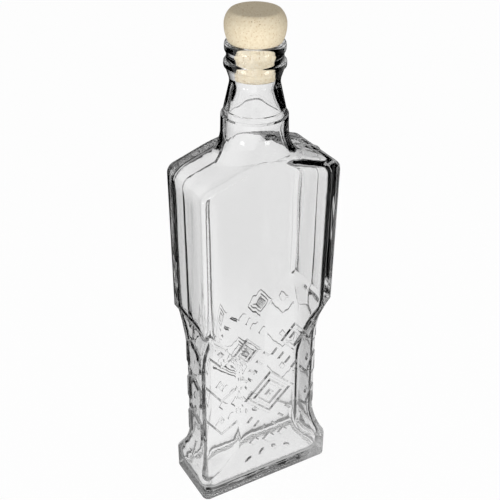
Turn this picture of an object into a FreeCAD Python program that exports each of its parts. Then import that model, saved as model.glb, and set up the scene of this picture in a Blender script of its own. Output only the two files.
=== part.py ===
import FreeCAD, Part
import math
import os

# A half-litre moulded glass bottle with a pressed-in T-stopper.
# The origin is under the middle of the foot, +Z is up, +X is the wide way, and all sizes are millimetres.
Vector = FreeCAD.Vector
UP = Vector(0, 0, 1)

# Overall outline of the glass, as seen from the front (half-widths) and from the side (half-depths)
GLASS_HEIGHT = 275.6
SHOULDER_DROP = 67.0
ROOF_EAVES = GLASS_HEIGHT - SHOULDER_DROP
BLOCK_HALF_WIDTH_HIGH = 41.5
BLOCK_LEAN = 0.9
BLOCK_HALF_WIDTH_LOW = BLOCK_HALF_WIDTH_HIGH - BLOCK_LEAN
LEDGE_HEIGHT = 121.0
LEDGE_RISE = 2.5
LEDGE_STEP = 2.3
WAIST_HALF_WIDTH = BLOCK_HALF_WIDTH_LOW - LEDGE_STEP
WAIST_BOTTOM = 37.0
FOOT_SPREAD = 1.5
FOOT_HALF_WIDTH = BLOCK_HALF_WIDTH_HIGH + FOOT_SPREAD
FOOT_HEIGHT = 18.0
FOOT_CORNER_RADIUS = 4.0
ROOF_PITCH = 18.8
ROOF_CROWN_HALF_WIDTH = 20.0
HALF_DEPTH_LOW = 19.5
HALF_DEPTH_HIGH = 21.3
BLOCK_EDGE_RADIUS = 2.4
EAVES_RADIUS = 6.0

# Corner scoops: each takes the corner off between the front panel and the side, along the waist
SCOOP_ANGLE = 60.0
PANEL_HALF_WIDTH = 19.3
SCOOP_STRAIGHT_TOP = 88.0
SCOOP_CURVE_TOP = 110.0
SCOOP_UPPER_RADIUS = 54.0
SCOOP_STRAIGHT_BOTTOM = 40.0
SCOOP_LOWER_RADIUS = 34.0
SCOOP_LOWER_TURN = 70.0

# Neck, bead and lip, each a drop below the top of the glass
NECK_FLARE_RADIUS = 23.5
NECK_FLARE_SINK = 0.4
NECK_SETBACK = 0.5
NECK_ROOT_RADIUS = 17.7
NECK_ROOT_RISE = 15.0
NECK_RING_DROP = 38.6
NECK_RING_STEP = 0.9
NECK_RING_DRAFT = 0.2
NECK_RING_RISE = 1.6
NECK_TOP_RADIUS = 12.7
NECK_TOP_DROP = 19.6
BEAD_RADIUS = 15.9
BEAD_BOTTOM_DROP = 15.4
BEAD_TOP_DROP = 9.2
BEAD_EDGE_RADIUS = 1.4
GROOVE_RADIUS = 13.8
GROOVE_BOTTOM_DROP = 7.4
GROOVE_TOP_DROP = 5.8
LIP_RADIUS = 15.45
LIP_EDGE_RADIUS = 1.8

# Glass thicknesses, mouth and base
WALL = 3.2
BASE_THICKNESS = 6.0
BORE_RADIUS = 9.65
BORE_LENGTH = 27.0
BORE_FUNNEL = 12.0
INNER_EDGE_RADIUS = 6.0
INNER_FLOOR_RADIUS = 4.0
PUSH_UP_DEPTH = 1.6
PUSH_UP_SLOPE = 4.0
BEARING_WIDTH = 5.0
FOOT_EDGE_RADIUS = 1.6

# Stopper
HEAD_RADIUS = 15.5
HEAD_HEIGHT = 15.7
HEAD_WAIST_SHARE = 0.54
HEAD_LOWER_ROUND = 1.9
HEAD_UPPER_ROUND = 3.2
SHANK_CLEARANCE = 0.05
SHANK_LENGTH = 18.6
SHANK_CHAMFER = 1.4
SOCKET_DEPTH = 6.0
GLUE_GAP = 0.1

ROOM = 60.0
LEVEL = 0.01


def half_depth(height):
    """Half the depth of the glass at a height, because the front and the back lean out a little."""
    share = height / ROOF_EAVES
    return HALF_DEPTH_LOW + (HALF_DEPTH_HIGH - HALF_DEPTH_LOW) * share


def arc(start, middle, end):
    return Part.Arc(start, middle, end).toShape()


def bend(start, end, radius, hollow_side):
    """An arc of a given radius between two points, bulging away from hollow_side."""
    chord = end - start
    middle = (start + end) * 0.5
    rise = math.sqrt(radius ** 2 - (chord.Length / 2) ** 2)
    across = chord.cross(Vector(0, 1, 0))
    across.normalize()
    if (hollow_side - middle).dot(across) < 0:
        across = across * -1
    centre = middle + across * rise
    return arc(start, centre - across * radius, end)


def tangent_bend(start, end, hollow_side=Vector()):
    """An arc that arrives upright at its end, with its centre on the hollow side."""
    inward = abs(end.x - start.x)
    rise = abs(end.z - start.z)
    radius = (inward ** 2 + rise ** 2) / (2 * inward)
    return bend(start, end, radius, hollow_side)


def line(start, end):
    return Part.LineSegment(start, end).toShape()


def chain(points):
    return [line(start, end) for start, end in zip(points, points[1:])]


def at(across, height):
    """A point of a profile that is drawn in the X-Z plane."""
    return Vector(across, 0, height)


def below_lip(across, drop):
    """A point of the neck's profile, a drop below the top of the glass."""
    return at(across, GLASS_HEIGHT - drop)


def filled(edges):
    return Part.Face(Part.Wire(Part.__sortEdges__(edges)))


def mirrored(edges):
    return [edge.mirror(Vector(), Vector(1, 0, 0)) for edge in edges]


def run_through(half_edges):
    """Both halves of an outline as seen from the front, filled and run right through the depth."""
    face = filled(half_edges + mirrored(half_edges))
    face.translate(Vector(0, -ROOM, 0))
    return face.extrude(Vector(0, 2 * ROOM, 0))


def block_outline(inset, edge_radius):
    """The upper block with its rounded eaves and gently pitched roof, down to the slanting ledge."""
    pitch = math.radians(ROOF_PITCH)
    low = BLOCK_HALF_WIDTH_LOW - inset
    high = BLOCK_HALF_WIDTH_HIGH - inset
    eaves = ROOF_EAVES - inset / math.cos(pitch) + inset * math.tan(pitch)
    crown_edge = eaves + (high - ROOF_CROWN_HALF_WIDTH) * math.tan(pitch)
    crown_radius = ROOF_CROWN_HALF_WIDTH / math.sin(pitch)
    crown = crown_edge + crown_radius * (1 - math.cos(pitch))
    half_crown = ROOF_CROWN_HALF_WIDTH / 2
    half_crown_drop = crown_radius - math.sqrt(crown_radius ** 2 - half_crown ** 2)
    ledge = at(low, LEDGE_HEIGHT)
    ledge_slope = LEDGE_RISE / (BLOCK_HALF_WIDTH_LOW - WAIST_HALF_WIDTH)
    ledge_run = 2 * edge_radius
    ledge_inside = at(low - ledge_run, LEDGE_HEIGHT - ledge_run * ledge_slope)
    corner = at(high, eaves)
    crown_start = at(ROOF_CROWN_HALF_WIDTH, crown_edge)
    up_side = corner - ledge
    up_side.normalize()
    up_roof = crown_start - corner
    up_roof.normalize()
    eaves_radius = EAVES_RADIUS + inset
    reach = eaves_radius * math.tan(up_side.getAngle(up_roof) / 2)
    eaves_start = corner - up_side * reach
    eaves_end = corner + up_roof * reach
    half = chain([at(0, ledge_inside.z), ledge_inside, ledge, eaves_start])
    half.append(bend(eaves_start, eaves_end, eaves_radius, at(0, LEDGE_HEIGHT)))
    half += chain([eaves_end, crown_start])
    half.append(arc(crown_start, at(half_crown, crown - half_crown_drop), at(0, crown)))
    return run_through(half)


def waist_outline(inset, floor):
    """The foot, its flare and the waist, up into the upper block."""
    foot = FOOT_HALF_WIDTH - inset
    waist = WAIST_HALF_WIDTH - inset
    flare_start = at(foot, FOOT_HEIGHT - inset)
    flare_end = at(waist, WAIST_BOTTOM)
    half = chain([at(0, floor), at(foot, floor), flare_start])
    half.append(tangent_bend(flare_start, flare_end, at(2 * ROOM, WAIST_BOTTOM)))
    half += chain([flare_end, at(waist, LEDGE_HEIGHT), at(0, LEDGE_HEIGHT)])
    return run_through(half)


def side_slab(inset):
    """Everything between the front and the back of the glass, up past the lip."""
    top = GLASS_HEIGHT + ROOM
    corners = [
        Vector(-ROOM, half_depth(-ROOM) - inset, -ROOM),
        Vector(-ROOM, half_depth(top) - inset, top),
        Vector(-ROOM, inset - half_depth(top), top),
        Vector(-ROOM, inset - half_depth(-ROOM), -ROOM),
    ]
    face = Part.Face(Part.makePolygon(corners + corners[:1]))
    return face.extrude(Vector(2 * ROOM, 0, 0))


def scoop(inset):
    """The cutter for one corner: an upright profile run along the corner's slanting plane."""
    angle = math.radians(SCOOP_ANGLE)
    waist_depth = half_depth((SCOOP_STRAIGHT_TOP + SCOOP_STRAIGHT_BOTTOM) / 2)
    waist = PANEL_HALF_WIDTH * math.cos(angle) + waist_depth * math.sin(angle) - inset
    far = waist + ROOM
    bend_rise = SCOOP_CURVE_TOP - SCOOP_STRAIGHT_TOP
    lean = math.asin(bend_rise / SCOOP_UPPER_RADIUS)
    curve_top = at(waist + SCOOP_UPPER_RADIUS * (1 - math.cos(lean)), SCOOP_CURVE_TOP)
    curve_middle = at(
        waist + SCOOP_UPPER_RADIUS * (1 - math.cos(lean / 2)),
        SCOOP_STRAIGHT_TOP + SCOOP_UPPER_RADIUS * math.sin(lean / 2),
    )
    straight_top = at(waist, SCOOP_STRAIGHT_TOP)
    straight_bottom = at(waist, SCOOP_STRAIGHT_BOTTOM)
    exit_top = at(far, SCOOP_CURVE_TOP + (far - curve_top.x) / math.tan(lean))
    low_turn = math.radians(SCOOP_LOWER_TURN)
    low_middle = at(
        waist + SCOOP_LOWER_RADIUS * (1 - math.cos(low_turn / 2)),
        SCOOP_STRAIGHT_BOTTOM - SCOOP_LOWER_RADIUS * math.sin(low_turn / 2),
    )
    low_end = at(
        waist + SCOOP_LOWER_RADIUS * (1 - math.cos(low_turn)),
        SCOOP_STRAIGHT_BOTTOM - SCOOP_LOWER_RADIUS * math.sin(low_turn),
    )
    edges = chain([straight_bottom, straight_top])
    edges.append(arc(straight_top, curve_middle, curve_top))
    edges += chain([curve_top, exit_top, at(far, low_end.z), low_end])
    edges.append(arc(low_end, low_middle, straight_bottom))
    face = filled(edges)
    face.translate(Vector(0, -ROOM, 0))
    cutter = face.extrude(Vector(0, 2 * ROOM, 0))
    cutter.rotate(Vector(), UP, SCOOP_ANGLE)
    return cutter


def scoops(inset):
    right_back = scoop(inset)
    left_back = right_back.mirror(Vector(), Vector(1, 0, 0))
    fronts = [cutter.mirror(Vector(), Vector(0, 1, 0)) for cutter in (right_back, left_back)]
    return [right_back, left_back] + fronts


def turned(edges):
    return filled(edges).revolve(Vector(), UP, 360)


def quarter_round(low, high, radius):
    """The outward corner of a turned rim, from one point to another a radius away both ways."""
    side = max(low.x, high.x)
    flat = low.z if low.x < high.x else high.z
    inward = radius * (1 - math.sqrt(0.5))
    height = flat + inward if low.x < high.x else flat - inward
    return arc(low, at(side - inward, height), high)


def flare(inset):
    """Both ends of the curve between the roof and the neck, moved inward by the inset."""
    pitch = math.radians(ROOF_PITCH)
    roof_run = BLOCK_HALF_WIDTH_HIGH - NECK_FLARE_RADIUS
    roof = ROOF_EAVES + roof_run * math.tan(pitch) - NECK_FLARE_SINK
    low = at(NECK_FLARE_RADIUS - inset / 2, roof - inset)
    high = at(NECK_ROOT_RADIUS - inset, roof + NECK_ROOT_RISE)
    return low, high


def neck_outside():
    """The flared neck with its ring, bead, groove and rounded lip."""
    flare_low, flare_high = flare(0)
    ring = below_lip(NECK_ROOT_RADIUS - NECK_RING_DRAFT, NECK_RING_DROP)
    above_ring = below_lip(ring.x - NECK_RING_STEP, NECK_RING_DROP - NECK_RING_RISE)
    neck_top = below_lip(NECK_TOP_RADIUS, NECK_TOP_DROP)
    bead_low = below_lip(BEAD_RADIUS - BEAD_EDGE_RADIUS, BEAD_BOTTOM_DROP)
    bead_side_low = below_lip(BEAD_RADIUS, BEAD_BOTTOM_DROP - BEAD_EDGE_RADIUS)
    bead_side_high = below_lip(BEAD_RADIUS, BEAD_TOP_DROP + BEAD_EDGE_RADIUS)
    bead_high = below_lip(BEAD_RADIUS - BEAD_EDGE_RADIUS, BEAD_TOP_DROP)
    groove_low = below_lip(GROOVE_RADIUS, GROOVE_BOTTOM_DROP)
    groove_high = below_lip(GROOVE_RADIUS, GROOVE_TOP_DROP)
    lip_low = below_lip(LIP_RADIUS, GROOVE_TOP_DROP - LIP_EDGE_RADIUS)
    lip_high = below_lip(LIP_RADIUS, LIP_EDGE_RADIUS)
    lip_top = below_lip(LIP_RADIUS - LIP_EDGE_RADIUS, 0)
    inside_low = at(0, ROOF_EAVES - NECK_ROOT_RISE)
    edges = chain([inside_low, at(NECK_TOP_RADIUS, inside_low.z), flare_low])
    edges.append(tangent_bend(flare_low, flare_high, at(2 * ROOM, flare_high.z)))
    edges += chain([flare_high, ring, above_ring, neck_top, bead_low])
    edges.append(quarter_round(bead_low, bead_side_low, BEAD_EDGE_RADIUS))
    edges += chain([bead_side_low, bead_side_high])
    edges.append(quarter_round(bead_side_high, bead_high, BEAD_EDGE_RADIUS))
    edges += chain([bead_high, groove_low, groove_high, lip_low, lip_high])
    edges.append(quarter_round(lip_high, lip_top, LIP_EDGE_RADIUS))
    edges += chain([lip_top, at(0, GLASS_HEIGHT), inside_low])
    return turned(edges)


def neck_inside():
    """The bore for the stopper and the funnel under it that opens into the body."""
    bore_bottom = GLASS_HEIGHT - BORE_LENGTH
    flare_low, flare_high = flare(WALL)
    funnel_bottom = at(flare_high.x, bore_bottom - BORE_FUNNEL)
    top = GLASS_HEIGHT + ROOM
    inside_low = at(0, LEDGE_HEIGHT)
    edges = chain([inside_low, at(BORE_RADIUS, LEDGE_HEIGHT), flare_low])
    edges.append(tangent_bend(flare_low, flare_high, at(2 * ROOM, flare_high.z)))
    edges += chain([
        flare_high,
        funnel_bottom,
        at(BORE_RADIUS, bore_bottom),
        at(BORE_RADIUS, top),
        at(0, top),
        inside_low,
    ])
    return turned(edges).common(side_slab(WALL + NECK_SETBACK))


def upper_edges(shape):
    """The edges round the front and the back of the upper block, from the ledge over the roof."""
    found = []
    for edge in shape.Edges:
        box = edge.BoundBox
        above_ledge = box.ZMin > LEDGE_HEIGHT - LEDGE_RISE / 2
        level_in_depth = box.YLength < HALF_DEPTH_LOW / 2
        if above_ledge and level_in_depth:
            found.append(edge)
    return found


def foot_corners(shape, height):
    """The four upright corners of the foot."""
    found = []
    for edge in shape.Edges:
        box = edge.BoundBox
        low = box.ZMax < FOOT_HEIGHT + LEDGE_RISE
        if low and box.ZLength > height / 2 and box.XLength < height / 2:
            found.append(edge)
    return found


def body_form(inset, floor, edge_radius):
    """The body without its neck: rounded block and footed waist, with all four corners scooped."""
    slab = side_slab(inset)
    block = block_outline(inset, edge_radius).common(slab)
    block = block.makeFillet(edge_radius, upper_edges(block))
    waist = waist_outline(inset, floor).common(slab)
    corners = foot_corners(waist, FOOT_HEIGHT - inset - floor)
    waist = waist.makeFillet(FOOT_CORNER_RADIUS + inset / 2, corners)
    return block.fuse(waist).cut(Part.makeCompound(scoops(inset)))


def push_up():
    """The shallow hollow under the base, which leaves a bearing ring round the foot."""
    def loop(margin, height):
        width = FOOT_HALF_WIDTH - margin
        depth = HALF_DEPTH_LOW - margin
        corners = [
            Vector(-width, -depth, height),
            Vector(width, -depth, height),
            Vector(width, depth, height),
            Vector(-width, depth, height),
        ]
        return Part.makePolygon(corners + corners[:1])

    low = loop(BEARING_WIDTH, 0)
    high = loop(BEARING_WIDTH + PUSH_UP_SLOPE, PUSH_UP_DEPTH)
    return Part.makeLoft([low, high], True, True)


def rounded_below(shape, floor, radius):
    """The form with the edges round its bottom rounded."""
    bottom_edges = [edge for edge in shape.Edges if edge.BoundBox.ZMax < floor + LEVEL]
    return shape.makeFillet(radius, bottom_edges)


def make_bottle():
    outside = rounded_below(body_form(0, 0, BLOCK_EDGE_RADIUS), 0, FOOT_EDGE_RADIUS)
    outside = outside.fuse(neck_outside().common(side_slab(NECK_SETBACK)))
    inside = body_form(WALL, BASE_THICKNESS, INNER_EDGE_RADIUS)
    inside = rounded_below(inside, BASE_THICKNESS, INNER_FLOOR_RADIUS).fuse(neck_inside())
    return outside.cut(inside).cut(push_up()).removeSplitter()


def make_stopper_head():
    """A round, softly barrelled head with a blind socket underneath for the shank."""
    seat = GLASS_HEIGHT
    top = seat + HEAD_HEIGHT
    waist = seat + HEAD_HEIGHT * HEAD_WAIST_SHARE
    under_edge = at(HEAD_RADIUS - HEAD_LOWER_ROUND, seat)
    top_edge = at(HEAD_RADIUS - HEAD_UPPER_ROUND, top)
    widest = at(HEAD_RADIUS, waist)
    edges = [tangent_bend(under_edge, widest), tangent_bend(top_edge, widest)]
    edges += chain([top_edge, at(0, top), at(0, seat), under_edge])
    socket = Part.makeCylinder(BORE_RADIUS - SHANK_CLEARANCE + GLUE_GAP, SOCKET_DEPTH, Vector(0, 0, seat))
    return turned(edges).cut(socket)


def make_stopper_shank():
    """A plain plug, chamfered below, whose upper end fills the head's socket."""
    radius = BORE_RADIUS - SHANK_CLEARANCE
    bottom = GLASS_HEIGHT - SHANK_LENGTH
    top = GLASS_HEIGHT + SOCKET_DEPTH
    edges = chain([
        at(0, bottom),
        at(radius - SHANK_CHAMFER, bottom),
        at(radius, bottom + SHANK_CHAMFER),
        at(radius, top),
        at(0, top),
        at(0, bottom),
    ])
    return turned(edges)


NODES = {
    "bottle": make_bottle,
    "stopper_head": make_stopper_head,
    "stopper_shank": make_stopper_shank,
}

os.makedirs("parts", exist_ok=True)
for node, make in NODES.items():
    shape = make()
    print(node, "valid", shape.isValid(), "solids", len(shape.Solids), "volume", round(shape.Volume, 1))
    shape.exportStep("parts/" + node + ".step")
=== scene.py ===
import math

import bpy
from mathutils import Matrix, Vector


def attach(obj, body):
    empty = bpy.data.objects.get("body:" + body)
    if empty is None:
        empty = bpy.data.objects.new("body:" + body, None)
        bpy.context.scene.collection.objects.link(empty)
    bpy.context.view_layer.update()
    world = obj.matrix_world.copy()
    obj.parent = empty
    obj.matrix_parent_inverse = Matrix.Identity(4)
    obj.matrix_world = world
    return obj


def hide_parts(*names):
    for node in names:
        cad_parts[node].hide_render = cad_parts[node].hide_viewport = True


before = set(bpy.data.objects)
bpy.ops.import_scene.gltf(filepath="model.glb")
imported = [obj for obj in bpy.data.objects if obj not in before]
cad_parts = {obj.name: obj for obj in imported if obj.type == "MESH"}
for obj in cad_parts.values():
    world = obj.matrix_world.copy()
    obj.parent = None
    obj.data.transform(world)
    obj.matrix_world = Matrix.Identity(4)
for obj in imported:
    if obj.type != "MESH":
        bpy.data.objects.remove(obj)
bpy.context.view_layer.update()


# Glass body: one hollow piece of clear soda-lime glass, blown in a two-part iron mould.
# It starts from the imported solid, cut off just above the shoulder's flare, and the sharp edges of
# the waist are rounded as molten glass rounds them.
MM = 0.001
WELD = 0.002 * MM
FLAT_ENOUGH = math.radians(0.4)
CRISP_OVER = math.radians(24)
EDGE_ROUND = 0.9 * MM
EDGE_FACETS = 3
ROUND_BOTTOM = 19 * MM
ROUND_TOP = 110 * MM
ROUND_BEYOND = 12 * MM
NECK_CUT = 229.5 * MM


def only(piece):
    """Leaves one object selected and active."""
    bpy.ops.object.select_all(action="DESELECT")
    piece.select_set(True)
    bpy.context.view_layer.objects.active = piece


def apply_modifier(piece, kind, **settings):
    """Adds a modifier with its settings and applies it."""
    only(piece)
    modifier = piece.modifiers.new(kind.lower(), kind)
    for name, value in settings.items():
        setattr(modifier, name, value)
    bpy.ops.object.modifier_apply(modifier=modifier.name)


def copy_of_node(name, node):
    """A piece that starts from a CAD node's mesh, with its loose triangles merged into clean faces."""
    bpy.ops.object.select_all(action="DESELECT")
    bpy.ops.object.add(type="MESH")
    piece = bpy.context.object
    piece.name = name
    piece.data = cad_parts[node].data.copy()
    piece.data.materials.clear()
    only(piece)
    bpy.ops.object.mode_set(mode="EDIT")
    bpy.ops.mesh.select_all(action="SELECT")
    bpy.ops.mesh.remove_doubles(threshold=WELD)
    bpy.ops.mesh.customdata_custom_splitnormals_clear()
    bpy.ops.mesh.dissolve_limited(angle_limit=FLAT_ENOUGH)
    bpy.ops.object.mode_set(mode="OBJECT")
    return piece


def pick_edges(piece, wanted, sharper_than=0.0):
    """Goes into edit mode with those edges selected whose two ends pass a test."""
    only(piece)
    bpy.ops.object.mode_set(mode="EDIT")
    bpy.ops.mesh.select_mode(type="EDGE")
    bpy.ops.mesh.select_all(action="DESELECT" if sharper_than else "SELECT")
    if sharper_than:
        bpy.ops.mesh.edges_select_sharp(sharpness=sharper_than)
    bpy.ops.object.mode_set(mode="OBJECT")
    points = piece.data.vertices
    for part in (*points, *piece.data.polygons):
        part.select = False
    for edge in piece.data.edges:
        ends = [points[index].co for index in edge.vertices]
        edge.select = edge.select and all(wanted(end) for end in ends)
    for edge in piece.data.edges:
        for index in edge.vertices:
            points[index].select = points[index].select or edge.select
    bpy.ops.object.mode_set(mode="EDIT")


def on_waist_edge(place):
    return ROUND_BOTTOM < place.z < ROUND_TOP and abs(place.x) > ROUND_BEYOND


def island_below(piece, height, inner):
    """Cuts a hollow piece off at a height and keeps its outer or its inner skin, open at the cut."""
    only(piece)
    bpy.ops.object.mode_set(mode="EDIT")
    bpy.ops.mesh.select_all(action="SELECT")
    bpy.ops.mesh.bisect(plane_co=(0, 0, height), plane_no=(0, 0, 1), clear_outer=True)
    bpy.ops.mesh.separate(type="LOOSE")
    bpy.ops.object.mode_set(mode="OBJECT")
    skins = sorted(bpy.context.selected_objects, key=lambda skin: skin.dimensions.x)
    kept = skins[0] if inner else skins[-1]
    for skin in skins:
        if skin is not kept:
            bpy.data.objects.remove(skin)
    return kept


bottle = copy_of_node("glass_bottle", "bottle")
pick_edges(bottle, on_waist_edge, sharper_than=CRISP_OVER)
bpy.ops.mesh.bevel(offset=EDGE_ROUND, segments=EDGE_FACETS, clamp_overlap=False, affect="EDGES")
bpy.ops.object.mode_set(mode="OBJECT")
bottle = island_below(bottle, NECK_CUT, inner=False)
bottle.name = "glass_bottle"


# Neck finish: the ringed neck, bead and lip of the same glass, formed in a split neck ring.
# It is turned in one sweep from the ring's profile, up the outside and over the lip, and bridged to
# the open rim of the body. Each corner is a radius, a height and the reach of its rounding, in mm.
NECK_START = 230.0 * MM
NECK_STEPS = 128
CORNER_STEPS = 5
NECK_CORNERS = (
    (17.69, 230.0, 0.0),
    (17.5, 237.4, 0.12),
    (16.6, 238.1, 0.3),
    (12.7, 255.6, 2.4),
    (14.9, 262.4, 0.4),
    (15.9, 263.2, 0.5),
    (15.9, 265.8, 0.5),
    (14.6, 266.4, 0.4),
    (14.4, 269.6, 1.0),
    (15.45, 271.6, 0.8),
    (15.45, 275.6, 1.8),
    (0.0, 275.6, 0.0),
)


def eased(corners):
    """The points of a profile with its corners rounded off."""
    points = []
    last = len(corners) - 1
    for place, (radius, height, reach) in enumerate(corners):
        corner = Vector((radius, 0, height)) * MM
        if place in (0, last) or reach == 0:
            points.append(corner)
            continue
        before = Vector((corners[place - 1][0], 0, corners[place - 1][1])) * MM
        after = Vector((corners[place + 1][0], 0, corners[place + 1][1])) * MM
        start = corner + (before - corner).normalized() * reach * MM
        end = corner + (after - corner).normalized() * reach * MM
        for step in range(CORNER_STEPS + 1):
            share = step / CORNER_STEPS
            points.append(start.lerp(corner, share).lerp(corner.lerp(end, share), share))
    return points


def turned(name, points, steps):
    """A piece turned round the Z axis from the points of an open profile."""
    bpy.ops.object.select_all(action="DESELECT")
    bpy.ops.mesh.primitive_circle_add(vertices=len(points), radius=1, fill_type="NOTHING")
    piece = bpy.context.object
    piece.name = name
    for vertex, point in zip(piece.data.vertices, points):
        vertex.co = point
    first_and_last = {0, len(points) - 1}
    bpy.ops.object.mode_set(mode="EDIT")
    bpy.ops.mesh.select_mode(type="EDGE")
    bpy.ops.mesh.select_all(action="DESELECT")
    bpy.ops.object.mode_set(mode="OBJECT")
    for edge in piece.data.edges:
        edge.select = set(edge.vertices) == first_and_last
    bpy.ops.object.mode_set(mode="EDIT")
    bpy.ops.mesh.delete(type="EDGE")
    bpy.ops.mesh.select_all(action="SELECT")
    bpy.ops.mesh.spin(steps=steps, angle=2 * math.pi, center=(0, 0, 0), axis=(0, 0, 1))
    bpy.ops.mesh.select_all(action="SELECT")
    bpy.ops.mesh.remove_doubles(threshold=WELD)
    bpy.ops.mesh.normals_make_consistent(inside=False)
    bpy.ops.object.mode_set(mode="OBJECT")
    return piece


def on_rims(place):
    return NECK_CUT - WELD < place.z < NECK_START + WELD


neck = turned("neck_finish", eased(NECK_CORNERS), NECK_STEPS)
only(bottle)
neck.select_set(True)
bpy.ops.object.join()
pick_edges(bottle, on_rims)
bpy.ops.mesh.bridge_edge_loops()
bpy.ops.mesh.select_all(action="SELECT")
bpy.ops.mesh.normals_make_consistent(inside=False)
bpy.ops.object.mode_set(mode="OBJECT")


# Hollow: the inside that the blown air left, which follows the mould only softly.
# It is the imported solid's inner skin, remeshed, relaxed so that its corners and steps melt away, and
# swollen to make good what that takes. The bore for the stopper is then cut true.
MOUTH_CUT = 238.0 * MM
MOUTH_EXTRA = 2.0 * MM
HOLLOW_GRID = 1.5 * MM
HOLLOW_RELAX = 14
HOLLOW_PULL = 0.5
HOLLOW_SWELL = 0.5 * MM
BORE_CORNERS = (
    (0.0, 232.0, 0.0),
    (13.7, 232.0, 0.0),
    (14.3, 236.4, 3.0),
    (9.65, 248.6, 5.0),
    (9.65, 275.0, 0.8),
    (10.6, 276.2, 0.0),
    (10.6, 280.0, 0.0),
    (0.0, 280.0, 0.0),
)


def cut_or_join(piece, tool, operation):
    """Cuts a tool from a piece, joins it on, or keeps what they share, and clears the tool away."""
    apply_modifier(piece, "BOOLEAN", object=tool, operation=operation, solver="MANIFOLD")
    bpy.data.objects.remove(tool)


hollow = island_below(copy_of_node("hollow", "bottle"), MOUTH_CUT, inner=True)
pick_edges(hollow, lambda place: place.z > MOUTH_CUT - WELD)
bpy.ops.mesh.extrude_region_move(TRANSFORM_OT_translate={"value": (0, 0, MOUTH_EXTRA)})
bpy.ops.mesh.edge_face_add()
bpy.ops.mesh.select_all(action="SELECT")
bpy.ops.mesh.normals_make_consistent(inside=False)
bpy.ops.object.mode_set(mode="OBJECT")
apply_modifier(hollow, "REMESH", mode="VOXEL", voxel_size=HOLLOW_GRID)
apply_modifier(hollow, "SMOOTH", factor=HOLLOW_PULL, iterations=HOLLOW_RELAX)
apply_modifier(hollow, "DISPLACE", strength=HOLLOW_SWELL, mid_level=0.0)
cut_or_join(bottle, hollow, "DIFFERENCE")
cut_or_join(bottle, turned("bore", eased(BORE_CORNERS), NECK_STEPS), "DIFFERENCE")


# Mould seam: the fine raised line up both sides where the two halves of the mould closed.
# It is a thin slice of the solid, from above the foot to under the bead. The middle of its skin is
# raised into a low ridge, its edges sink into the glass, and it is joined back on.
SEAM_WIDTH = 3.2 * MM
SEAM_HEIGHT = 0.65 * MM
SEAM_SINK = 0.06 * MM
SEAM_ROOT = 1.0 * MM
SEAM_BOTTOM = 21 * MM
SEAM_TOP = 258 * MM
SLICE_REACH = 0.2
BODY_MIDDLE = 125 * MM

seam = copy_of_node("mould_seam", "bottle")
bpy.ops.object.select_all(action="DESELECT")
bpy.ops.mesh.primitive_cube_add(size=1, location=(0, 0, (SEAM_BOTTOM + SEAM_TOP) / 2))
slice_box = bpy.context.object
slice_box.scale = (SLICE_REACH, SEAM_WIDTH, SEAM_TOP - SEAM_BOTTOM)
bpy.ops.object.transform_apply(location=True, rotation=True, scale=True)
cut_or_join(seam, slice_box, "INTERSECT")
only(seam)
bpy.ops.object.mode_set(mode="EDIT")
bpy.ops.mesh.select_all(action="SELECT")
bpy.ops.mesh.bisect(plane_co=(0, 0, 0), plane_no=(0, 1, 0))


def pick_seam(wanted):
    """Selects the points of the slice that pass a test, in edit mode."""
    bpy.ops.mesh.select_mode(type="VERT")
    bpy.ops.mesh.select_all(action="DESELECT")
    bpy.ops.object.mode_set(mode="OBJECT")
    for vertex in seam.data.vertices:
        outward = Vector((vertex.co.x, 0, vertex.co.z - BODY_MIDDLE))
        inside_ends = vertex.co.z < SEAM_BOTTOM + MM or vertex.co.z > SEAM_TOP - MM
        on_skin = vertex.normal.dot(outward) > 0 and not inside_ends
        vertex.select = wanted(on_skin, abs(vertex.co.y) < WELD)
    bpy.ops.object.mode_set(mode="EDIT")


pick_seam(lambda on_skin, on_crest: not on_skin)
bpy.ops.transform.shrink_fatten(value=-SEAM_ROOT)
pick_seam(lambda on_skin, on_crest: on_skin and not on_crest)
bpy.ops.transform.shrink_fatten(value=-SEAM_SINK)
pick_seam(lambda on_skin, on_crest: on_skin and on_crest)
bpy.ops.transform.shrink_fatten(value=SEAM_HEIGHT)
bpy.ops.object.mode_set(mode="OBJECT")
cut_or_join(bottle, seam, "UNION")


# Carving on the waist: raised ornament of the same glass, pressed by the mould. Nested lozenges, bars and
# leaves on the panels and V-ridges on the scooped corners are under a millimetre high, and pads on the
# narrow sides one and a half. Sloping walls let the glass leave the mould. Outlines and places are in mm.
HALF_DEPTH_LOW = 19.5 * MM
HALF_DEPTH_RISE = 1.8 / 208.6
SCOOP_DISTANCE = 27.02 * MM
SCOOP_MIDDLE = 17.66 * MM
SCOOP_FLAT_TOP = 88 * MM
SCOOP_UPPER_RADIUS = 54 * MM
SCOOP_FLAT_BOTTOM = 40 * MM
SCOOP_LOWER_RADIUS = 34 * MM
SIDE_DISTANCE = 38.3 * MM
SINK = 1.6 * MM
RELIEF = 0.88
WALL_RUN = 0.9
CARVED_EDGE = 0.2 * MM
CARVED_FACETS = 2
SLIVER = 0.0002 * MM
LEAF_SIDES = 20
CURVED_CUTS = 3

motifs = []
carvings = []


def panel(height):
    """How far the front or the back stands from the middle at a height."""
    return HALF_DEPTH_LOW + HALF_DEPTH_RISE * height


def scooped_corner(height):
    """The same for the scoops, which are flat along the waist and flare out above and below it."""
    rise = 0.0
    if height > SCOOP_FLAT_TOP:
        above = height - SCOOP_FLAT_TOP
        rise = SCOOP_UPPER_RADIUS - math.sqrt(SCOOP_UPPER_RADIUS ** 2 - above ** 2)
    if height < SCOOP_FLAT_BOTTOM:
        below = SCOOP_FLAT_BOTTOM - height
        rise = SCOOP_LOWER_RADIUS - math.sqrt(SCOOP_LOWER_RADIUS ** 2 - below ** 2)
    return SCOOP_DISTANCE + rise


def narrow_side(height):
    return SIDE_DISTANCE


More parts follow.
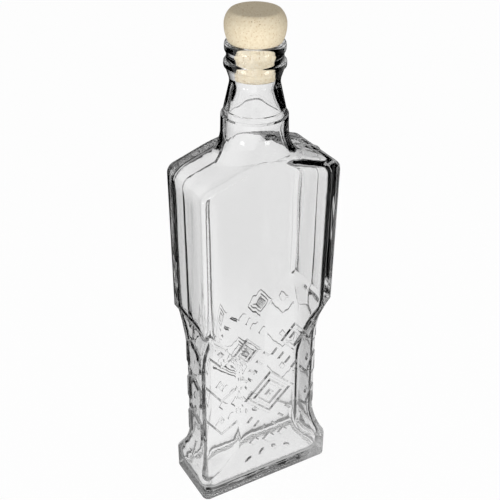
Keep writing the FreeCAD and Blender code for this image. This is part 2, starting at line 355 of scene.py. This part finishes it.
def lozenge(half_width, half_height):
    return [(half_width, 0), (0, half_height), (-half_width, 0), (0, -half_height)]


def bar(length, width):
    right_half = [(length / 2, -width / 2), (length / 2, width / 2)]
    return right_half + [(-across, -up) for across, up in right_half]


def shield(half_width, half_height, half_side):
    right_half = [(0, -half_height), (half_width, -half_side), (half_width, half_side)]
    return right_half + [(-across, -up) for across, up in right_half]


def chevron(half_width, drop, thickness):
    upper = [(half_width, drop + thickness), (0, thickness), (-half_width, drop + thickness)]
    return upper + [(-across, up - thickness) for across, up in upper]


def leaf(half_length, half_width):
    turns = [2 * math.pi * part / LEAF_SIDES for part in range(LEAF_SIDES)]
    return [(half_length * math.cos(turn), half_width * math.sin(turn)) for turn in turns]


def motif(outline, steps, cuts=0):
    """A flat outline raised in steps, each a run inwards and a rise, and cut finer where it has to bend."""
    bpy.ops.object.select_all(action="DESELECT")
    bpy.ops.mesh.primitive_circle_add(vertices=len(outline), radius=1, fill_type="NGON")
    pad = bpy.context.object
    for vertex, (x, y) in zip(pad.data.vertices, outline):
        vertex.co = (x * MM, y * MM, -SINK)
    bpy.ops.object.mode_set(mode="EDIT")
    bpy.ops.mesh.select_all(action="SELECT")
    bpy.ops.mesh.normals_make_consistent(inside=False)
    bpy.ops.mesh.extrude_region_move(TRANSFORM_OT_translate={"value": (0, 0, SINK)})
    for run, rise in steps:
        bpy.ops.mesh.inset(thickness=run * MM)
        bpy.ops.transform.translate(value=(0, 0, rise * MM))
    bpy.ops.mesh.select_all(action="SELECT")
    bpy.ops.mesh.normals_make_consistent(inside=False)
    bpy.ops.object.mode_set(mode="OBJECT")
    apply_modifier(
        pad, "BEVEL", limit_method="ANGLE", angle_limit=CRISP_OVER,
        width=CARVED_EDGE, segments=CARVED_FACETS,
    )
    if cuts:
        bpy.ops.object.mode_set(mode="EDIT")
        bpy.ops.mesh.select_all(action="SELECT")
        bpy.ops.mesh.subdivide(number_cuts=cuts)
        bpy.ops.object.mode_set(mode="OBJECT")
    motifs.append(pad)
    return pad


def carve(pattern, surface, facing, across, height, spin=0):
    """Copies a motif, with a mesh of its own, and lays it on a face."""
    only(pattern)
    bpy.ops.object.duplicate(linked=False)
    pad = bpy.context.object
    out = Vector((math.cos(math.radians(facing)), math.sin(math.radians(facing)), 0))
    sideways = Vector((-out.y, out.x, 0))
    up = Vector((0, 0, 1))
    turn = Matrix.Rotation(math.radians(spin), 3, "Z")
    for vertex in pad.data.vertices:
        local = turn @ vertex.co
        level = height * MM + local.y
        vertex.co = out * (surface(level) + local.z) + sideways * (across * MM + local.x) + up * level
    carvings.append(pad)


UP_WALL = (WALL_RUN, RELIEF)
DOWN_WALL = (WALL_RUN, -RELIEF)
RIDGE = (1.2, 0)
NARROW_RIDGE = (0.8, 0)
GROOVE = (0.9, 0)
WIDE_GROOVE = (2.4, 0)
FRAME_FLAT = (1.1, 0)
NESTED = [
    UP_WALL, RIDGE, DOWN_WALL, GROOVE,
    UP_WALL, RIDGE, DOWN_WALL, WIDE_GROOVE,
    UP_WALL, NARROW_RIDGE, DOWN_WALL,
]
FRAMED = [UP_WALL, FRAME_FLAT, DOWN_WALL, FRAME_FLAT, UP_WALL]
PLAIN = [UP_WALL]
PAD_STEPS = [(0.6, 1.0), (2.0, 0.4), (2.4, 0.15)]

MAIN_HEIGHT = 68
UPPER_ACROSS = 15.5
UPPER_HEIGHT = 103.5
FALLING_BARS = 4
FALLING_ACROSS = 2.6
FALLING_HEIGHT = 97.5
FALLING_DROP = 4.7
RISING_BARS = 3
RISING_ACROSS = 3.8
RISING_HEIGHT = 43.0
BAR_PITCH = 4.6
BAR_SLANT = 45
INNER_LEAF_ACROSS = 4.4
INNER_LEAF_HEIGHT = 24
INNER_LEAF_SLANT = 125
OUTER_LEAF_ACROSS = 13.5
OUTER_LEAF_HEIGHT = 21.5
OUTER_LEAF_SLANT = 145
SIDE_LOZENGE_ACROSS = 9.8
SIDE_LOZENGE_HEIGHT = 34.5
LOW_HEIGHT = 33.5
SHORT_ARM = 6.6
LONG_ARM = 9.2
ARM_STEEPNESS = 1.1
ARM_WIDTH = 2.4
SMALL_LOZENGE_LIFT = 12
SCOOP_FACINGS = ((60, -1), (120, 1), (240, -1), (300, 1))
PAD_HEIGHTS = (95, 69.5, 44)

main_lozenge = motif(lozenge(17.0, 16.2), NESTED)
upper_lozenge = motif(lozenge(9.0, 10.0), FRAMED)
falling_bar = motif(bar(5.6, 1.9), PLAIN)
rising_bar = motif(bar(5.2, 1.8), PLAIN)
inner_leaf = motif(leaf(3.0, 1.5), PLAIN)
outer_leaf = motif(leaf(2.8, 1.4), PLAIN)
side_lozenge = motif(lozenge(3.8, 4.0), PLAIN)
low_lozenge = motif(lozenge(4.6, 4.8), PLAIN)
short_ridge = motif(chevron(SHORT_ARM, SHORT_ARM * ARM_STEEPNESS, ARM_WIDTH), PLAIN, CURVED_CUTS)
long_ridge = motif(chevron(LONG_ARM, LONG_ARM * ARM_STEEPNESS, ARM_WIDTH), PLAIN, CURVED_CUTS)
small_lozenge = motif(lozenge(2.2, 3.4), PLAIN, CURVED_CUTS)
side_pad = motif(shield(8.6, 12.4, 7.2), PAD_STEPS)

for facing in (-90, 90):
    carve(main_lozenge, panel, facing, 0, MAIN_HEIGHT)
    for side in (-1, 1):
        carve(upper_lozenge, panel, facing, side * UPPER_ACROSS, UPPER_HEIGHT)
        for step in range(FALLING_BARS):
            across = side * (FALLING_ACROSS + BAR_PITCH * step)
            height = FALLING_HEIGHT - FALLING_DROP * step
            carve(falling_bar, panel, facing, across, height, side * BAR_SLANT)
        for step in range(RISING_BARS):
            across = side * (RISING_ACROSS + BAR_PITCH * step)
            height = RISING_HEIGHT + BAR_PITCH * step
            carve(rising_bar, panel, facing, across, height, side * -BAR_SLANT)
        across = side * INNER_LEAF_ACROSS
        carve(inner_leaf, panel, facing, across, INNER_LEAF_HEIGHT, side * INNER_LEAF_SLANT)
        across = side * OUTER_LEAF_ACROSS
        carve(outer_leaf, panel, facing, across, OUTER_LEAF_HEIGHT, side * OUTER_LEAF_SLANT)
        carve(side_lozenge, panel, facing, side * SIDE_LOZENGE_ACROSS, SIDE_LOZENGE_HEIGHT)
    carve(low_lozenge, panel, facing, 0, LOW_HEIGHT)

for facing, side in SCOOP_FACINGS:
    across = side * SCOOP_MIDDLE / MM
    for ridge, tip in ((short_ridge, 93), (long_ridge, 68), (long_ridge, 43)):
        carve(ridge, scooped_corner, facing, across, tip)
        carve(small_lozenge, scooped_corner, facing, across, tip + SMALL_LOZENGE_LIFT)

for facing in (0, 180):
    for height in PAD_HEIGHTS:
        carve(side_pad, narrow_side, facing, 0, height)

for pattern in motifs:
    bpy.data.objects.remove(pattern)
only(carvings[0])
for pad in carvings:
    pad.select_set(True)
bpy.ops.object.join()
cut_or_join(bottle, carvings[0], "UNION")

# The joins leave slivers, which are merged and dissolved.
only(bottle)
bpy.ops.object.mode_set(mode="EDIT")
bpy.ops.mesh.select_all(action="SELECT")
bpy.ops.mesh.remove_doubles(threshold=SLIVER)
bpy.ops.mesh.quads_convert_to_tris()
bpy.ops.mesh.dissolve_degenerate(threshold=SLIVER)
bpy.ops.object.mode_set(mode="OBJECT")


# Glass finish: soda-lime glass from an iron mould, clear, with a faint grey cast where it is thick.
# The chilled skin has long shallow waves, which make reflections and edges swim a little, and the base
# rests on a stippled ring that looks grey. The stipple is drawn coarser than real, so that it shows.
SMOOTH_UNDER = math.radians(32)
GLASS_CAST = "#FAFAFA"
GLASS_IOR = 1.51
WAVE_WIDTH = 9 * MM
WAVE_STRETCH = 7
WAVE_HEIGHT = 0.35 * MM
STIPPLE_SPACING = 0.9 * MM
STIPPLE_HEIGHT = 0.35 * MM
STIPPLE_TOP = 1.2 * MM


def linear(hex_colour):
    """An sRGB hex colour as linear red, green, blue and alpha."""
    channels = [int(hex_colour[place:place + 2], 16) / 255 for place in (1, 3, 5)]
    values = [c / 12.92 if c <= 0.04045 else ((c + 0.055) / 1.055) ** 2.4 for c in channels]
    return (*values, 1.0)


def add_node(tree, kind, links=None, **settings):
    """Adds a shader node, sets its properties or input values by name, and links its inputs."""
    made = tree.nodes.new(kind)
    for name, value in settings.items():
        if name.startswith("in_"):
            key = name[3:]
            made.inputs[int(key) if key.isdigit() else key.replace("_", " ")].default_value = value
        else:
            setattr(made, name, value)
    for target, source in (links or {}).items():
        tree.links.new(source, made.inputs[target])
    return made


only(bottle)
bpy.ops.object.shade_smooth_by_angle(angle=SMOOTH_UNDER)
apply_modifier(bottle, "WEIGHTED_NORMAL", keep_sharp=True)

glass = bpy.data.materials.new("clear_soda_lime_glass")
glass.use_nodes = True
tree = glass.node_tree
shader = tree.nodes["Principled BSDF"]
shader.inputs["Base Color"].default_value = linear(GLASS_CAST)
shader.inputs["Roughness"].default_value = 0.0
shader.inputs["IOR"].default_value = GLASS_IOR
shader.inputs["Transmission Weight"].default_value = 1.0
place = add_node(tree, "ShaderNodeTexCoord")
here = {"Vector": place.outputs["Object"]}
drawn = add_node(tree, "ShaderNodeMapping", here, in_Scale=(1, 1, 1 / WAVE_STRETCH))
waves = add_node(
    tree, "ShaderNodeTexNoise", {"Vector": drawn.outputs[0]}, in_Scale=1 / WAVE_WIDTH, in_Detail=1.0,
)
swim = add_node(tree, "ShaderNodeBump", {"Height": waves.outputs[0]}, in_Distance=WAVE_HEIGHT)
dots = add_node(tree, "ShaderNodeTexVoronoi", here, in_Scale=1 / STIPPLE_SPACING)
level = add_node(tree, "ShaderNodeSeparateXYZ", {0: place.outputs["Object"]})
on_base = add_node(
    tree, "ShaderNodeMapRange", {0: level.outputs["Z"]}, in_1=STIPPLE_TOP, in_2=STIPPLE_TOP / 2,
)
stipple = add_node(
    tree, "ShaderNodeMath", {0: dots.outputs["Distance"], 1: on_base.outputs[0]}, operation="MULTIPLY",
)
skin = add_node(
    tree, "ShaderNodeBump", {"Height": stipple.outputs[0], "Normal": swim.outputs[0]},
    in_Distance=STIPPLE_HEIGHT,
)
tree.links.new(skin.outputs["Normal"], shader.inputs["Normal"])
bottle.data.materials.clear()
bottle.data.materials.append(glass)
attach(bottle, "bottle")
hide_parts("bottle")


# Stopper shank: the plug of pressed fine-grain cork that grips the bore, glued into the head.
# It is turned from a pressed rod, with its lower edge eased to lead it into the mouth. The grains and
# specks of real cork flour are finer, and are drawn coarser here, so that they show.
TURNED_STEPS = 96
GRAIN = 1.4 * MM
GRAIN_RELIEF = 0.2 * MM
GRAIN_STRENGTH = 0.5
MOTTLE_FROM = 0.35
MOTTLE_TO = 0.65
SPECK_SPACING = 1.0 * MM
SPECK_CORE = 0.16
SPECK_EDGE = 0.4
SPECK_RARITY = 0.5
SPECK_COLOUR = "#D6BE98"
PIT_SPACING = 2.6 * MM
PIT_CORE = 0.06
PIT_EDGE = 0.15
PIT_RARITY = 0.6
PIT_COLOUR = "#A88C68"
CORK_ROUGHEST = 0.9
CORK_SMOOTHEST = 0.75
CORK_GLOSS = 0.2
# The plug's cream is painted paler than the grip's. This painted brightening stands in for the light that
# the glass round the neck holds back from it.
PLUG_PALE_PAINTED_BRIGHTER = "#F6EBD4"
PLUG_MID_PAINTED_BRIGHTER = "#EEDFC0"
SHANK_CORNERS = (
    (0, 257.0, 0),
    (9.6, 257.0, 1.4),
    (9.6, 281.6, 0.3),
    (0, 281.6, 0),
)


def pressed_cork(name, pale, mid):
    """Pressed cork flour: cream, mottled by its granules, with brown bark specks and a few dark pits."""
    material = bpy.data.materials.new(name)
    material.use_nodes = True
    tree = material.node_tree
    shader = tree.nodes["Principled BSDF"]
    place = add_node(tree, "ShaderNodeTexCoord")
    here = {"Vector": place.outputs["Object"]}
    grain = add_node(
        tree, "ShaderNodeTexNoise", here, in_Scale=1 / GRAIN, in_Detail=3.0, in_Roughness=0.6,
    )
    mottled = add_node(
        tree, "ShaderNodeMapRange", {0: grain.outputs[0]}, in_1=MOTTLE_FROM, in_2=MOTTLE_TO,
    )
    body = add_node(
        tree, "ShaderNodeMix", {0: mottled.outputs[0]}, data_type="RGBA",
        in_6=linear(mid), in_7=linear(pale),
    )
    colour = body.outputs[2]
    for spacing, core, edge, rarity, tint in (
        (SPECK_SPACING, SPECK_CORE, SPECK_EDGE, SPECK_RARITY, SPECK_COLOUR),
        (PIT_SPACING, PIT_CORE, PIT_EDGE, PIT_RARITY, PIT_COLOUR),
    ):
        cells = add_node(tree, "ShaderNodeTexVoronoi", here, in_Scale=1 / spacing)
        spot = add_node(
            tree, "ShaderNodeMapRange", {0: cells.outputs["Distance"]},
            in_1=core, in_2=edge, in_3=1, in_4=0,
        )
        draw = add_node(tree, "ShaderNodeSeparateColor", {0: cells.outputs["Color"]})
        chosen = add_node(
            tree, "ShaderNodeMath", {0: draw.outputs[0]}, operation="GREATER_THAN", in_1=rarity,
        )
        share = add_node(
            tree, "ShaderNodeMath", {0: spot.outputs[0], 1: chosen.outputs[0]}, operation="MULTIPLY",
        )
        specked = add_node(
            tree, "ShaderNodeMix", {0: share.outputs[0], 6: colour}, data_type="RGBA", in_7=linear(tint),
        )
        colour = specked.outputs[2]
    tree.links.new(colour, shader.inputs["Base Color"])
    rough = add_node(
        tree, "ShaderNodeMapRange", {0: grain.outputs[0]}, in_3=CORK_ROUGHEST, in_4=CORK_SMOOTHEST,
    )
    tree.links.new(rough.outputs[0], shader.inputs["Roughness"])
    relief = add_node(
        tree, "ShaderNodeBump", {"Height": grain.outputs[0]},
        in_Strength=GRAIN_STRENGTH, in_Distance=GRAIN_RELIEF,
    )
    tree.links.new(relief.outputs[0], shader.inputs["Normal"])
    shader.inputs["Specular IOR Level"].default_value = CORK_GLOSS
    return material


shank = turned("stopper_plug", eased(SHANK_CORNERS), TURNED_STEPS)
bpy.ops.object.shade_smooth_by_angle(angle=SMOOTH_UNDER)
# The plug's cork carries the painted brightening: its cream is lighter than the grip's for the light lost
# in the glass.
shank.data.materials.append(pressed_cork("pressed_cork_plug_painted_brighter", PLUG_PALE_PAINTED_BRIGHTER, PLUG_MID_PAINTED_BRIGHTER))
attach(shank, "stopper")
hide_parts("stopper_shank")


# Stopper head: the barrelled grip of pressed cork that sits on the lip.
# It is turned in one piece, with its upper edge rounded over and a blind socket for the plug below.
HEAD_RADIUS = 15.5
HEAD_SEAT = 275.6
HEAD_WIDEST = 284.08
HEAD_TOP = 291.3
LOWER_BARREL = 19.9
UPPER_BARREL = 9.74
SOCKET_RADIUS = 9.7
SOCKET_TOP = 281.6
BARREL_STEPS = 14
BARREL_EASE = 0.5
TOP_EASE = 1.0
GRIP_PALE = "#F0E3C8"
GRIP_MID = "#E6D6B7"


def barrel(height):
    """The head's radius at a height, on a flatter arc below its widest place and a rounder one above."""
    curve = UPPER_BARREL if height > HEAD_WIDEST else LOWER_BARREL
    return HEAD_RADIUS - curve + math.sqrt(curve ** 2 - (height - HEAD_WIDEST) ** 2)


rounds = [HEAD_SEAT + (HEAD_TOP - HEAD_SEAT) * step / BARREL_STEPS for step in range(BARREL_STEPS)]
head_corners = [(0, SOCKET_TOP, 0), (SOCKET_RADIUS, SOCKET_TOP, 0), (SOCKET_RADIUS, HEAD_SEAT, 0)]
head_corners += [(barrel(height), height, BARREL_EASE) for height in rounds]
head_corners += [(barrel(HEAD_TOP), HEAD_TOP, TOP_EASE), (0, HEAD_TOP, 0)]
head = turned("stopper_cap", eased(head_corners), TURNED_STEPS)
bpy.ops.object.shade_smooth_by_angle(angle=SMOOTH_UNDER)
head.data.materials.append(pressed_cork("pressed_cork_grip", GRIP_PALE, GRIP_MID))
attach(head, "stopper")
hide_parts("stopper_head")


# Studio: a white sweep and a white room for what is seen directly or through the glass.
# What the glass mirrors is a room that is white on the camera's left and dark on its right and behind,
# and a floor that is bright in front on the left, and half bright close round the foot.
LEFT = (-0.868, 0.496, 0)
TO_CAMERA = (-0.496, -0.868, 0)
FLOOR_SIZE = 30
FLOOR_GAP = 0.2 * MM
FLOOR_PAINT = "#F2F2F2"
FLOOR_WHITE_SHARE = 0.97
WHITE = (1, 1, 1, 1)
FRONT_GLOW = 0.95
FRONT_GLOW_FULL = 0.08
NEAR_GLOW = 0.5
NEAR_GLOW_FULL = 0.04
NEAR_GLOW_END = 0.09
LEFT_GLOW_NONE = -0.2
LEFT_GLOW_FULL = -0.05
ROOM_GLOW = 0.8
ROOM_GLOW_FULL = 0.9
AMBIENT = 0.45
THROUGH_GLASS = 3.0
ANY_BOUNCE = 0.5

bpy.ops.object.select_all(action="DESELECT")
bpy.ops.mesh.primitive_plane_add(size=FLOOR_SIZE, location=(0, 0, 0))
floor = bpy.context.object
floor.name = "studio_floor"
bpy.ops.object.mode_set(mode="EDIT")
bpy.ops.transform.translate(value=(0, 0, -FLOOR_GAP))
bpy.ops.object.mode_set(mode="OBJECT")


def light_paths(tree):
    """The Light Path node, whether a ray was mirrored, and whether it is seen or came through glass."""
    path = add_node(tree, "ShaderNodeLightPath")
    mirrored = add_node(
        tree, "ShaderNodeMath", {0: path.outputs["Glossy Depth"]},
        operation="GREATER_THAN", in_1=ANY_BOUNCE,
    )
    direct = path.outputs["Is Camera Ray"]
    through = path.outputs["Is Transmission Ray"]
    seen = add_node(tree, "ShaderNodeMath", {0: direct, 1: through}, operation="MAXIMUM")
    return path, mirrored.outputs[0], seen.outputs[0]


paper = bpy.data.materials.new("white_sweep")
paper.use_nodes = True
tree = paper.node_tree
tree.nodes.clear()
path, mirrored, seen = light_paths(tree)
diffuse = add_node(tree, "ShaderNodeBsdfDiffuse", in_Color=linear(FLOOR_PAINT))
glow = add_node(tree, "ShaderNodeEmission", in_Color=WHITE, in_Strength=1.0)
place = add_node(tree, "ShaderNodeTexCoord").outputs["Object"]
ahead = add_node(tree, "ShaderNodeVectorMath", {0: place}, operation="DOT_PRODUCT", in_1=TO_CAMERA)
front_glow = add_node(
    tree, "ShaderNodeMapRange", {0: ahead.outputs["Value"]},
    in_1=0.0, in_2=FRONT_GLOW_FULL, in_3=0.0, in_4=FRONT_GLOW,
)
leftness = add_node(tree, "ShaderNodeVectorMath", {0: place}, operation="DOT_PRODUCT", in_1=LEFT)
left_half = add_node(
    tree, "ShaderNodeMapRange", {0: leftness.outputs["Value"]},
    in_1=LEFT_GLOW_NONE, in_2=LEFT_GLOW_FULL, in_3=0.0, in_4=1.0,
)
left_glow = add_node(
    tree, "ShaderNodeMath", {0: front_glow.outputs[0], 1: left_half.outputs[0]}, operation="MULTIPLY",
)
far = add_node(tree, "ShaderNodeVectorMath", {0: place}, operation="LENGTH")
near_glow = add_node(
    tree, "ShaderNodeMapRange", {0: far.outputs["Value"]},
    in_1=NEAR_GLOW_FULL, in_2=NEAR_GLOW_END, in_3=NEAR_GLOW, in_4=0.0,
)
mirror_glow = add_node(
    tree, "ShaderNodeMath", {0: left_glow.outputs[0], 1: near_glow.outputs[0]}, operation="MAXIMUM",
)
gloom = add_node(tree, "ShaderNodeEmission", {"Strength": mirror_glow.outputs[0]}, in_Color=WHITE)
share = add_node(tree, "ShaderNodeMath", {0: seen}, operation="MULTIPLY", in_1=FLOOR_WHITE_SHARE)
white = add_node(
    tree, "ShaderNodeMixShader", {0: share.outputs[0], 1: diffuse.outputs[0], 2: glow.outputs[0]},
)
both = add_node(tree, "ShaderNodeMixShader", {0: mirrored, 1: white.outputs[0], 2: gloom.outputs[0]})
add_node(tree, "ShaderNodeOutputMaterial", {"Surface": both.outputs[0]})
floor.data.materials.append(paper)

# The fill light below doesn't shine through the glass, so the room's light that reaches the plug
# through it is raised.
world = bpy.data.worlds.new("studio")
bpy.context.scene.world = world
world.use_nodes = True
tree = world.node_tree
tree.nodes.clear()
path, mirrored, seen = light_paths(tree)
plain = add_node(tree, "ShaderNodeMix", {0: seen}, in_2=AMBIENT, in_3=1.0)
off_cork = add_node(
    tree, "ShaderNodeMath", {0: path.outputs["Diffuse Depth"]},
    operation="GREATER_THAN", in_1=ANY_BOUNCE,
)
into_neck = add_node(
    tree, "ShaderNodeMath", {0: off_cork.outputs[0], 1: path.outputs["Is Transmission Ray"]},
    operation="MULTIPLY",
)
all_round = add_node(
    tree, "ShaderNodeMix", {0: into_neck.outputs[0], 2: plain.outputs[0]}, in_3=THROUGH_GLASS,
)
place = add_node(tree, "ShaderNodeTexCoord").outputs["Generated"]
leftness = add_node(tree, "ShaderNodeVectorMath", {0: place}, operation="DOT_PRODUCT", in_1=LEFT)
dim = add_node(
    tree, "ShaderNodeMapRange", {0: leftness.outputs["Value"]},
    in_1=0.0, in_2=ROOM_GLOW_FULL, in_3=0.0, in_4=ROOM_GLOW,
)
strength = add_node(
    tree, "ShaderNodeMix", {0: mirrored, 2: all_round.outputs[0], 3: dim.outputs[0]},
)
room = add_node(tree, "ShaderNodeBackground", {"Strength": strength.outputs[0]}, in_Color=WHITE)
add_node(tree, "ShaderNodeOutputWorld", {"Surface": room.outputs[0]})


def area_light(name, spot, target, width, height, power):
    """A soft rectangular light, aimed at a target and hidden from the camera and through the glass."""
    bpy.ops.object.select_all(action="DESELECT")
    bpy.ops.object.light_add(type="AREA", location=spot)
    light = bpy.context.object
    light.name = name
    light.data.shape = "RECTANGLE"
    light.data.size = width
    light.data.size_y = height
    light.data.energy = power
    light.visible_camera = False
    light.visible_transmission = False
    aim = Vector(target) - light.location
    light.rotation_euler = aim.to_track_quat("-Z", "Y").to_euler()
    return light


STRIP_WIDTH = 0.16
STRIP_HEIGHT = 0.05
STRIP_TARGET = (0, 0, 0.08)
LEFT_STRIP = (-0.49, -0.18, 0.08)
LEFT_STRIP_POWER = 0.13
RIGHT_STRIP = (0.09, -0.51, 0.08)
RIGHT_STRIP_POWER = 0.11
FILL = (-0.30, -0.52, 0.20)
FILL_TARGET = (0, 0, 0.26)
FILL_WIDTH = 0.7
FILL_HEIGHT = 0.3
FILL_POWER = 2.45

area_light("left_strip", LEFT_STRIP, STRIP_TARGET, STRIP_WIDTH, STRIP_HEIGHT, LEFT_STRIP_POWER)
area_light("right_strip", RIGHT_STRIP, STRIP_TARGET, STRIP_WIDTH, STRIP_HEIGHT, RIGHT_STRIP_POWER)
fill = area_light("front_fill", FILL, FILL_TARGET, FILL_WIDTH, FILL_HEIGHT, FILL_POWER)
fill.visible_glossy = False


# Camera: the photograph's place, turn and focal length, fitted to the bottle's straight edges.
# Light runs along inside the thick glass many times before it leaves, so the bounces are many: with
# few of them the edges turn solid black.
CAMERA_PLACE = (-0.23316, -0.40055, 0.44054)
CAMERA_RIGHT = Vector((0.8682, -0.4962, 0.0065))
CAMERA_UP = Vector((0.2554, 0.4581, 0.8514))
SENSOR_WIDTH = 36
FOCAL_LENGTH = 70.83
NEAREST_SEEN = 0.01
BOUNCES = 48

backward = CAMERA_RIGHT.cross(CAMERA_UP)
bpy.ops.object.select_all(action="DESELECT")
bpy.ops.object.camera_add()
camera = bpy.context.object
camera.data.sensor_width = SENSOR_WIDTH
camera.data.lens = FOCAL_LENGTH
camera.data.clip_start = NEAREST_SEEN
turn = Matrix((CAMERA_RIGHT, CAMERA_UP, backward)).transposed().to_4x4()
camera.matrix_world = Matrix.Translation(CAMERA_PLACE) @ turn
scene = bpy.context.scene
scene.camera = camera
scene.cycles.max_bounces = BOUNCES
scene.cycles.glossy_bounces = BOUNCES
scene.cycles.transmission_bounces = BOUNCES
scene.view_settings.view_transform = "Standard"
